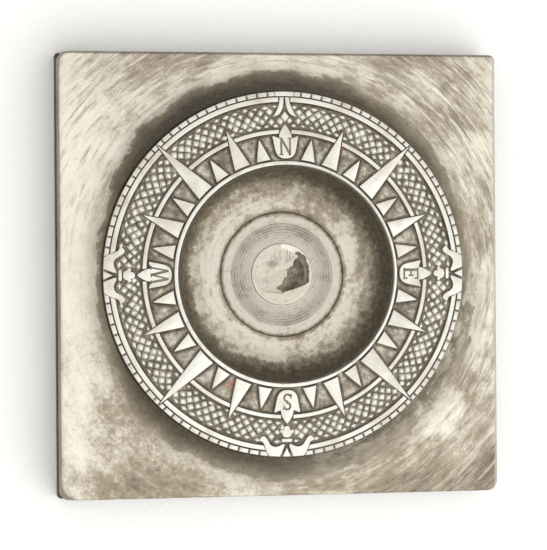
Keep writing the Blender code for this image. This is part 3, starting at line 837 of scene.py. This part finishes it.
def stud_material():
    """The knurl: bright tips, grey-brown flanks and dark grooves."""
    s = Shader("knurl_metal")
    cloud = s.noise(190, 6, 0.64)
    grit = s.noise(1500, 3, 0.6)
    low = s.add(s.level, FLOOR_DEPTH, s.about(cloud, 0.32 * MM))
    flank = s.over(BROWN, s.over(GREY, SILVER, cloud, 0.2, 0.8), low, -0.14 * MM, 0.2 * MM)
    flank = s.over(flank, BROWN, grit, 0.7, 1, 0.4)
    colour = s.over(flank, RUBBED, low, 0.42 * MM, 0.6 * MM)
    return s.finish(colour, s.step(cloud, 0.3, 0.7, 0.36, 0.5), 0.35, grit, 0.08)


def root_material():
    """The gnomon's broken root: mottled grey-cream, a bright turned rim, a painted highlight crescent, and
    the dark fracture, partly painted shade.
    """
    s = Shader("root_metal_aged")
    cloud = s.noise(150, 5, 0.68)
    blotch = s.noise(420, 5, 0.7)
    grit = s.noise(900, 3, 0.6)
    drag = s.brushed(900, 110, 110)
    places = s.blots((-4, 5, 5, 0.1, 0.42), (-7.5, 0.5, 4, 0.1, 0.18), (0.5, -2, 6, 0.3, -0.3),
                     (2, -11, 8, 0.5, -0.25))
    grey = s.add((cloud, 0.35), (s.noise(260, 3, 0.6), 0.55), places)
    colour = s.over(PALE, SILVER, grey, 0.3, 0.75)
    colour = s.over(colour, DUST, grey, 0.55, 1.05, 0.95)
    colour = s.over(colour, STAIN, blotch, 0.62, 1, 0.6)
    streaks = s.times(s.blot(1.2, 8.5, 5, 0.4), s.step(drag, 0.45, 0.75))
    colour = s.mix(s.times(streaks, 0.85), colour, STAIN)
    colour = s.mix(0.16, colour, GREY)
    rim = s.step(s.radius, 12.9 * MM, 13.4 * MM, 0, 0.45)
    # A painted highlight: a white crescent inside the rim toward the north-east.
    painted_highlight_crescent = s.times(s.step(s.radius, 10.6 * MM, 11.9 * MM), s.step(s.toward(32, 42), 0.1, 0.5))
    colour = s.mix(s.most(rim, painted_highlight_crescent), colour, WHITE_METAL)
    # The fracture's dark film: its own grey-brown colour with painted shade, darker toward the east, where
    # its steep wall faces away from the light.
    film = s.over(UMBER, SOOT, s.add(cloud, (s.x, 22)), 0.25, 1.05)
    film = s.over(film, STAIN, grit, 0.65, 0.95, 0.7)
    film = s.over(film, SOOT, blotch, 0.35, 0, 0.7)
    dark = s.step(s.add(s.stored("fracture"), s.about(cloud, 0.25)), 0.4, 0.6)
    height = s.add(cloud, (grit, 0.4), (drag, 0.4))
    rough = s.step(cloud, 0.3, 0.7, 0.42, 0.56)
    return s.finish(s.mix(dark, colour, film), rough, s.step(dark, 0, 1, 0.3, 0.1), height, 0.1)


def dark_metal(name, light, dark, rough=0.5):
    """Oxidised steel with pale rubbed grit, for the base plate and the fixings."""
    s = Shader(name)
    cloud = s.noise(90, 6, 0.62)
    grit = s.noise(1000, 3, 0.6)
    colour = s.over(s.over(dark, light, cloud, 0.2, 0.85), STAIN, grit, 0.75, 1, 0.5)
    height = s.add((s.brushed(40, 700, 700), 0.6), (grit, 0.4))
    return s.finish(colour, s.step(cloud, 0.3, 0.7, rough - 0.08, rough + 0.12), 0.4, height, 0.06)


# --- Pieces ---

# Points along each side and round each corner of the square.
SIDE_POINTS = 110
CORNER_POINTS = 14


def square_loop(half, corner_radii, z):
    """Anticlockwise loop round a square, with a radius for each corner from north-east on."""
    signs = ((1, 1), (-1, 1), (-1, -1), (1, -1))
    centres = [Vector(sign) * (half - radius) for sign, radius in zip(signs, corner_radii)]
    points = []
    for quadrant, (centre, radius) in enumerate(zip(centres, corner_radii)):
        for k in range(CORNER_POINTS):
            angle = pi / 2 * (quadrant + k / (CORNER_POINTS - 1))
            points.append(centre + radius * Vector((cos(angle), sin(angle))))
        following = (quadrant + 1) % 4
        turn = pi / 2 * (quadrant + 1)
        end = centres[following] + corner_radii[following] * Vector((cos(turn), sin(turn)))
        begin = points[-1]
        points += [begin.lerp(end, k / (SIDE_POINTS + 1)) for k in range(1, SIDE_POINTS + 1)]
    return np.array([(p.x, p.y, z) for p in points])


def worn_loop(half, radii, z, wear, seed):
    """A square loop whose edge wanders inward by up to wear."""
    loop = square_loop(half, radii, z)
    for point in loop:
        amount = abs(roughness_at(point[0], point[1], seed, 90))
        point[:2] *= 1 - wear * min(1, amount) / half
    return loop


# Corner radii of the dial plate, from north-east anticlockwise: at its worn face, and lower down.
WORN_CORNERS = [2.6 * MM, 5.2 * MM, 8 * MM, 4.8 * MM]
SHARP_CORNERS = [2.2 * MM, 3.4 * MM, 3.2 * MM, 3 * MM]


def make_dial_plate():
    """The square block: plain sides, chipped front edges, a nearly flat face and the cove up to the ring."""
    low = [(0.4 * MM, DIAL_BOTTOM, 0.1, 0), (0, DIAL_BOTTOM + 0.4 * MM, 0.15, 0)]
    low += [(0, z, 0.12, z) for z in spaced(DIAL_BOTTOM + 1.5 * MM, FACE_Z - 5 * MM, 1.6 * MM)]
    low.append((0, FACE_Z - 3.6 * MM, 0.12, 0.3))
    outer = [worn_loop(DIAL_HALF - inset, SHARP_CORNERS, z, wear * MM, seed) for inset, z, wear, seed in low]
    for inset, drop, wear in ((0, 1.1, 0.2), (0.15, 0.55, 0.25), (0.5, 0.15, 0.35), (1.1, 0, 0.45)):
        outer.append(worn_loop(DIAL_HALF - inset * MM, WORN_CORNERS, FACE_Z - drop * MM, wear * MM, 0.2))
    edge = outer[-1]
    angles = np.arctan2(edge[:, 1], edge[:, 0])
    foot = circles([(COVE_FOOT, FACE_Z)], angles)[0]
    face = []
    for blend in (0.06, 0.13, 0.22, 0.34, 0.48, 0.62, 0.76, 0.88):
        row = edge * (1 - blend) + foot * blend
        for point in row:
            point[2] = FACE_Z + 0.03 * MM * roughness_at(point[0], point[1], 0, 40)
        face.append(row)
    seat = RING_OUTER + GAP
    floor = DISH_BOTTOM - GAP
    profile = rising_fillet(COVE_FOOT, FACE_Z, COVE_LIP, COVE_LIP_Z, 16)
    profile += [(COVE_LIP - 0.2 * MM, COVE_LIP_Z), (seat, COVE_LIP_Z - 0.15 * MM), (seat, SEAT_Z)]
    profile += [(SEAT_INNER, SEAT_Z), (SEAT_INNER, floor), (STUD_HOLE, floor), (STUD_HOLE, POCKET_TOP)]
    profile += [(POCKET_RADIUS, POCKET_TOP), (POCKET_RADIUS, DIAL_BOTTOM)]
    loops = outer + face + circles(profile, angles)
    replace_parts(loft("dial_plate_worn", loops, dial_material(), 35), "dial_plate")


# How far below the ring's cone a motif's top lies, and how wide its rounded edge is.
SPIKE_TOP = (0.02 * MM, 0.2 * MM)
BAND_TOP = (0.1 * MM, 0.26 * MM)
SHIELD_TOP = (0, 0.16 * MM)


def relief_piece(name, outlines, top, material):
    """All the motifs of one kind as one object."""
    verts, faces = [], []
    for outline in outlines:
        add_relief(verts, faces, outline, *top)
    add_piece(name, verts, faces, material, 25)


def make_ring():
    """The compass ring: its motifs, its body and its knurl."""
    relief = relief_material("relief_metal")
    spikes = [on_ring(index, spike_outline(spike_kind(index))) for index in range(32) if spike_kind(index)]
    bands = band_outlines(*INNER_BAND) + band_outlines(*OUTER_BAND)
    track = track_outlines()
    ornaments = [outline for index in LETTERS for outline in ornament_outlines(index)]
    shields = [on_ring(index, SHIELD) for index in LETTERS]
    relief_piece("ring_spikes", spikes, SPIKE_TOP, relief)
    relief_piece("ring_bands", bands, BAND_TOP, relief)
    track_metal = relief_material("track_metal", WHITE_METAL, SILVER)
    relief_piece("ring_track", track, BAND_TOP, track_metal)
    relief_piece("ring_ornaments", ornaments, SPIKE_TOP, relief)
    engraved_shields(relief)
    make_ring_body(spikes + bands + track + ornaments + shields, ring_body_material())
    make_knurl(spikes + ornaments + shields, stud_material())


TREE_STEP = 0.25 * MM
RIM_BEAD = 0.55 * MM
RING_STEPS = 960
KNURL_COLUMNS = 104
KNURL_ROWS = 5
KNURL_GAP = 0.85 * MM
EDGE_ROW_SHARE = 0.62

# The ring's floor: it climbs by OPEN_RISE over OPEN_REACH away from a motif, and sinks under all else.
OPEN_REACH = 1.7 * MM
OPEN_RISE = 0.34 * MM
FLOOR_SINK = 0.12 * MM
FLOOR_GRAIN = 0.07 * MM
TRACK_FLOOR = 0.6 * MM
TRACK_EDGE = 0.28 * MM


def wall_tree(outlines):
    """A search tree of points along the foot of every motif."""
    points = []
    for outline in outlines:
        for a, b in zip(outline, outline[1:] + outline[:1]):
            count = max(1, ceil(hypot(b[0] - a[0], b[1] - a[1]) / TREE_STEP))
            shares = [k / count for k in range(count)]
            points += [(a[0] + (b[0] - a[0]) * t, a[1] + (b[1] - a[1]) * t, 0) for t in shares]
    tree = kdtree.KDTree(len(points))
    for i, point in enumerate(points):
        tree.insert(point, i)
    tree.balance()
    return tree


def make_ring_body(motifs, material):
    """The ring's turned body, whose floor sinks close to the motifs and lies low under the knurl."""
    tree = wall_tree(motifs)
    profile = [(RING_INNER, RING_BOTTOM)]
    for k in range(9):
        turn = pi / 2 * k / 8
        profile.append(ring_point(RING_INNER + RIM_BEAD * (1 - cos(turn)), RIM_BEAD * (1 - sin(turn))))
    profile += [ring_point(RIM_OUTER - 0.25 * MM, 0.02 * MM), ring_point(RIM_OUTER - 0.05 * MM, 0.15 * MM)]
    profile.append(ring_point(RIM_OUTER + 0.12 * MM, FLOOR_DEPTH))
    radii = spaced(RIM_OUTER + 0.5 * MM, RING_OUTER - 0.25 * MM, 0.45 * MM)
    profile += [ring_point(radius, FLOOR_DEPTH) for radius in radii]
    profile += [ring_point(RING_OUTER, FLOOR_DEPTH + 0.15 * MM), (RING_OUTER, RING_BOTTOM)]
    loops = circles(profile[::-1], even_angles(RING_STEPS))
    opening = np.zeros((len(loops), RING_STEPS))
    # The two outermost loops are the ring's side; the floor's loops follow them.
    for row in range(2, 2 + len(radii)):
        for j, point in enumerate(loops[row]):
            x, y = point[:2]
            radius = hypot(x, y)
            ground = 0 if KNURL[0] < radius < KNURL[1] else 1
            openness = 0.75 + ground * (min(1, tree.find((x, y, 0))[2] / OPEN_REACH) - 0.75)
            point[2] += OPEN_RISE * ground * openness ** 1.4 - FLOOR_SINK * (2 - ground)
            if radius > TRACK[0] - 0.1 * MM:
                openness = 0.7 if radius < RING_OUTER - 0.55 * MM else 1.2
                point[2] = ring_top(x, y) - (TRACK_FLOOR if openness < 1 else TRACK_EDGE)
            opening[row, j] = openness
            point[2] += FLOOR_GRAIN * roughness_at(x, y, 0, 500)
    ring = loft("ring_body", loops, material, 40)
    store(ring, "open_floor", opening)
    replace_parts(ring, "compass_ring")


def inside(point, outline):
    """True if a point lies in an outline."""
    x, y = point
    odd = False
    for (x0, y0), (x1, y1) in zip(outline, outline[1:] + outline[:1]):
        if (y0 > y) != (y1 > y) and x < x0 + (y - y0) * (x1 - x0) / (y1 - y0):
            odd = not odd
    return odd


def make_knurl(motifs, material):
    """Diamond studs in staggered rows between the two bands, left out where a motif stands."""
    tree = wall_tree(motifs)
    pitch = tau / KNURL_COLUMNS
    row_step = (KNURL[1] - KNURL[0]) / KNURL_ROWS
    verts, faces = [], []
    for row in range(KNURL_ROWS):
        for column in range(KNURL_COLUMNS):
            radius = KNURL[0] + row_step * (row + 0.5) + random.gauss(0, 0.09 * MM)
            angle = pitch * (column + 0.5 * (row % 2)) + random.gauss(0, 0.1 * MM) / radius
            centre = (radius * sin(angle), radius * cos(angle))
            size = random.uniform(0.97, 1.05)
            height = random.uniform(0.7, 0.97) * MM
            if tree.find((*centre, 0))[2] < KNURL_GAP or any(inside(centre, m) for m in motifs):
                continue
            out = row_step * size * (EDGE_ROW_SHARE if row in (0, KNURL_ROWS - 1) else 1)
            add_stud(verts, faces, centre, angle, radius * pitch / 2 * size, out, height)
    add_piece("ring_knurl", verts, faces, material, 50)


def add_stud(verts, faces, centre, angle, across, out, height):
    """A low pyramid on a diamond, hollowed a little down its flanks, with a rounded tip."""
    start = len(verts)
    corners = [(0, -1), (0.5, -0.5), (1, 0), (0.5, 0.5), (0, 1), (-0.5, 0.5), (-1, 0), (-0.5, -0.5)]
    twist = random.gauss(0, 0.07)
    tip = random.uniform(0.9, 1.15)
    lean = (random.gauss(0, 0.07), random.gauss(0, 0.07))
    levels = [(1.02, -0.45 * MM), (0.98, -0.12 * MM), (0.66, height * 0.3), (0.36, height * 0.66),
              (0.2, height * 0.93), (0.09, height)]
    s, c = sin(angle + twist), cos(angle + twist)
    for level, (scale, z) in enumerate(levels):
        shift = min(1, level / 3)
        narrow = scale * (tip if level > 2 else 1)
        bulge = 1 if level < 2 else 1 + 0.1 * level
        for k, (u, v) in enumerate(corners):
            round_out = bulge if k % 2 else 1
            a = (u * narrow * round_out + lean[0] * shift) * across
            o = (v * narrow * round_out + lean[1] * shift) * out
            x, y = centre[0] + a * c + o * s, centre[1] - a * s + o * c
            verts.append((x, y, ring_top(x, y) - FLOOR_DEPTH + z))
    sides = len(corners)
    faces += [tuple(start + v for v in face) for face in loft_faces([corners] * len(levels), closed=False)]
    faces += caps(start, sides, len(verts) - sides)


DISH_STEPS = 288
DISC_STEPS = 224
ROOT_STEPS = 300


def make_dish():
    """The bowl as one turned body: flange, rim, fillet and floor."""
    wall = RING_INNER - 0.06 * MM
    fillet = rising_fillet(DISH_FILLET, DISH_FLOOR, DISH_LIP, DISH_LIP_Z, 18)
    radii = spaced(DISH_INNER + 0.5 * MM, DISH_FILLET, 0.6 * MM)[:-1]
    # The floor keeps a faint ripple from its turning.
    floor = [(r, DISH_FLOOR + 0.03 * MM * sin(r * 2400)) for r in radii]
    profile = [(DISH_INNER, DISH_BOTTOM), (DISH_FLANGE, DISH_BOTTOM), (DISH_FLANGE, SEAT_Z), (wall, SEAT_Z)]
    profile += [(wall, DISH_LIP_Z - 0.1 * MM), (wall - 0.1 * MM, DISH_LIP_Z)] + fillet[::-1] + floor[::-1]
    profile += [(DISH_INNER + 0.1 * MM, DISH_FLOOR), (DISH_INNER, DISH_FLOOR - 0.15 * MM)]
    loops = circles(profile, even_angles(DISH_STEPS))
    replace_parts(loft("dish_turned", loops, dish_material(), 35), "dish_insert")


def disc_height(radius):
    """The disc's turned face: cut grooves, and a shoulder that rolls down at its edge."""
    z = DISC_TOP - 0.02 * MM
    if GROOVES[0] < radius < GROOVES[1]:
        phase = (radius - GROOVES[0]) / GROOVE_PITCH
        depth = 0.15 if radius > 18.2 * MM else 0.08
        z -= depth * MM * max(0, 1 - abs(phase - round(phase)) / 0.22)
        z -= 0.04 * MM * max(0, 1 - abs(phase - int(phase) - 0.5) / 0.14)
    shoulder = DISC_RADIUS - 1.9 * MM
    if radius > shoulder:
        z -= 0.45 * MM * ((radius - shoulder) / (DISC_RADIUS - shoulder)) ** 2.2
    return z


def make_disc():
    """The grooved disc, with a recess for the root's lip."""
    recess = ROOT_RADIUS + 0.08 * MM
    profile = [(DISC_HOLE, DISH_BOTTOM), (DISC_RADIUS, DISH_BOTTOM)]
    profile += [(r, disc_height(r)) for r in spaced(DISC_RADIUS, recess + 0.05 * MM, 0.075 * MM)]
    profile += [(recess, DISC_TOP - 0.1 * MM), (recess, DISC_TOP - MM), (DISC_HOLE, DISC_TOP - MM)]
    loops = circles(profile, even_angles(DISC_STEPS))
    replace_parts(loft("disc_grooved", loops, disc_material(), 60), "centre_disc")


# Outlines on the root's top, as (x, y) in millimetres from the dial's centre: the rim of the broken hollow,
# which leaves a crescent at the south, and the fracture in it, painted dark with its own colour and with
# painted shade on its steep wall.
HOLLOW = millimetres([
    (12.6, 3.4), (12.4, -0.5), (12.1, -3.9), (9.6, -5.3), (5.6, -6.9), (0.5, -8.2), (-3.6, -8), (-7.2, -7.9),
    (-10.2, -6.6), (-12.2, -2.6), (-12.6, 1.6), (-11.6, 5.8), (-8.8, 9.2), (-4.6, 11.8), (0.4, 12.8),
    (4.9, 11.9), (8.6, 9.6), (11, 7.2),
])
FRACTURE = millimetres([
    (7.3, 10.4), (10.6, 8.3), (12.4, 3.3), (12.1, -3.8), (5.6, -6.8), (0.5, -8.1), (-3, -6.3),
    (0.2, -4.4), (0.9, -2.2), (2.6, -0.9), (2.4, 2.2), (4.9, 3.6), (5.6, 6.2), (7.4, 8), (6.2, 9.4),
])
FRACTURE_WALL = FRACTURE[:6]
CRACK = millimetres([(-7.4, -7.9), (-3.6, -8.1), (0.6, -8.4)])
RIM_FACE = 13.2 * MM


def to_segment(point, a, b):
    """Distance from a point to a straight stretch."""
    p, a, b = Vector(point), Vector(a), Vector(b)
    span = b - a
    return (p - a - span * clamp((p - a).dot(span) / span.length_squared)).length


def to_chain(point, chain):
    """Distance from a point to a chain of straight stretches."""
    return min(to_segment(point, a, b) for a, b in zip(chain, chain[1:]))


def depth_in(point, outline):
    """How far a point lies inside a closed outline, negative outside it."""
    distance = to_chain(point, outline + outline[:1])
    return distance if inside(point, outline) else -distance


def hollow_at(x, y):
    """Depth of the broken hollow at a point, and from 0 to 1 how dark the break is painted there, as fracture
    colour and painted shade on its steep wall.
    """
    if hypot(x, y) > RIM_FACE:
        return 0, 0
    rough = roughness_at(x, y, 0.01, 300, 4)
    ridge = abs((x / MM) % 1.1 - 0.55) * clamp((y - 3 * MM) / (4 * MM)) * (abs(x - MM) < 3 * MM)
    rim = depth_in((x, y), HOLLOW)
    bowl = max(0, min(0.55 * rim, 0.35 * MM + 0.1 * rim))
    bowl += clamp(rim / MM) * (0.14 * rough + 0.16 * ridge) * MM
    torn = depth_in((x, y), FRACTURE) + 0.45 * rough * MM
    wall = 1.5 * to_chain((x, y), FRACTURE_WALL)
    pit = max(0, min(0.42 * torn + 0.25 * MM, wall, 3 * MM)) if torn > 0 else 0
    crack = max(0, 1 - to_chain((x, y), CRACK) / (0.35 * MM))
    # The root's lip is thin outside its neck, so the break stays shallow there.
    limit = 1.1 * MM + 1.4 * max(0, NECK_RADIUS - 0.4 * MM - hypot(x, y))
    return min(bowl + pit + 0.2 * MM * crack, limit), max(clamp(0.5 + torn / (0.5 * MM)), 0.8 * crack)


def make_root(material):
    """The root as one closed turned body; its top rows sink into the hollow."""
    side = [(STUD_RADIUS, ROOT_END), (STUD_RADIUS, DISH_BOTTOM), (NECK_RADIUS, DISH_BOTTOM)]
    side += [(NECK_RADIUS, ROOT_TOP - LIP_DROP), (ROOT_RADIUS, ROOT_TOP - LIP_DROP)]
    side += [(ROOT_RADIUS, ROOT_TOP - 0.35 * MM), (ROOT_RADIUS - 0.1 * MM, ROOT_TOP - 0.12 * MM)]
    side.append((ROOT_RADIUS - 0.35 * MM, ROOT_TOP))
    top = [(r, ROOT_TOP) for r in spaced(ROOT_RADIUS - 0.6 * MM, 0.2 * MM, 0.17 * MM)]
    loops = circles(side + top, even_angles(ROOT_STEPS))
    fracture = np.zeros((len(loops), ROOT_STEPS))
    for row in range(len(side), len(loops)):
        for j, point in enumerate(loops[row]):
            depth, fracture[row, j] = hollow_at(point[0], point[1])
            point[2] -= depth
    verts = np.concatenate(loops)
    faces = loft_faces(loops, closed=False) + caps(0, ROOT_STEPS, len(verts) - ROOT_STEPS)
    root = add_piece("root_broken", verts, faces, material, 60)
    # The stored fracture value is how dark the break is painted: its own colour and painted shade.
    store(root, "fracture", fracture)
    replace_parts(root, "gnomon_root")


BURR = millimetres([(12.6, 3.2), (13.7, 4.3), (14.9, 6.4), (15.3, 7.6), (14.4, 7), (13.2, 5.2)])


def make_burr(material):
    """A sliver of the root's metal, smeared over the disc beside the fracture."""
    rows = ((0, -0.2), (0, 0.1), (-0.22, 0.38))
    verts = [(x, y, DISC_TOP + z * MM) for distance, z in rows
             for x, y in offset(anticlockwise(BURR), distance * MM)]
    faces = loft_faces([BURR] * len(rows), closed=False) + caps(0, len(BURR), len(verts) - len(BURR))
    add_piece("root_burr", verts, faces, material, 25)


def dress_frame():
    """Gives the CAD nodes that stay their finished materials."""
    dark = dark_metal("base_metal_aged", tone(92, 84, 72), tone(54, 50, 44))
    steel = dark_metal("fixing_steel_aged", tone(150, 146, 138), tone(104, 100, 94), 0.4)
    for name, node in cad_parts.items():
        if name in ("dial_plate", "compass_ring", "dish_insert", "centre_disc", "gnomon_root"):
            continue
        node.data.materials.clear()
        node.data.materials.append(dark if name == "base_plate" else steel)


# --- Stage ---

VIEW_YAW = radians(10.01)
VIEW_PITCH = radians(0.023)
VIEW_ROLL = radians(0.408)
VIEW_DISTANCE = 0.9872
VIEW_SHIFT = (3.78 * MM, 0.37 * MM)
LENS = 143.9
SKY_COLOUR = (1.0, 0.99, 0.97, 1)
SKY_STRENGTH = 0.84
KEY_PLACE = (0.60, -0.62, 1.10)
KEY_SIZE = 2.0
KEY_WATTS = 12.5
FLOOR_REACH = 6.0
FLOOR_Z = -0.2 * MM


def make_camera():
    """A long lens over the face, a little to the west of square on."""
    turn = (Matrix.Rotation(VIEW_ROLL, 4, "Z") @ Matrix.Rotation(VIEW_PITCH, 4, "X")
            @ Matrix.Rotation(VIEW_YAW, 4, "Y"))
    to_camera = Matrix.Translation((*VIEW_SHIFT, -VIEW_DISTANCE)) @ turn @ Matrix.Translation((0, 0, -FACE_Z))
    data = bpy.data.cameras.new("camera")
    data.lens = LENS
    data.sensor_width = 36
    camera = link_new("camera", data)
    camera.matrix_world = to_camera.inverted()
    bpy.context.scene.camera = camera


def make_stage():
    """An even pale sky, one wide soft light from the south-east and a sheet of pale paper."""
    bpy.context.scene.view_settings.view_transform = "Standard"
    world = bpy.data.worlds.new("studio")
    bpy.context.scene.world = world
    world.use_nodes = True
    background = world.node_tree.nodes["Background"]
    background.inputs["Color"].default_value = SKY_COLOUR
    background.inputs["Strength"].default_value = SKY_STRENGTH
    lamp = bpy.data.lights.new("key", "AREA")
    lamp.shape = "DISK"
    lamp.size = KEY_SIZE
    lamp.energy = KEY_WATTS
    key = link_new("key", lamp)
    key.location = KEY_PLACE
    key.rotation_mode = "QUATERNION"
    key.rotation_quaternion = (-Vector(KEY_PLACE)).to_track_quat("-Z", "Y")
    floor = bpy.data.meshes.new("floor")
    corners = [(x * FLOOR_REACH, y * FLOOR_REACH, FLOOR_Z) for x, y in ((-1, -1), (1, -1), (1, 1), (-1, 1))]
    floor.from_pydata(corners, [], [(0, 1, 2, 3)])
    s = Shader("floor_paper")
    grain = s.noise(400.0, 3.0)
    paper = s.mix(grain, (0.95, 0.95, 0.94, 1), (0.97, 0.97, 0.96, 1))
    floor.materials.append(s.finish(paper, 0.9, 0.0, grain, 0.1))
    link_new("floor", floor)


make_camera()
make_stage()
make_dial_plate()
make_ring()
make_dish()
make_disc()
root_metal = root_material()
make_root(root_metal)
make_burr(root_metal)
dress_frame()
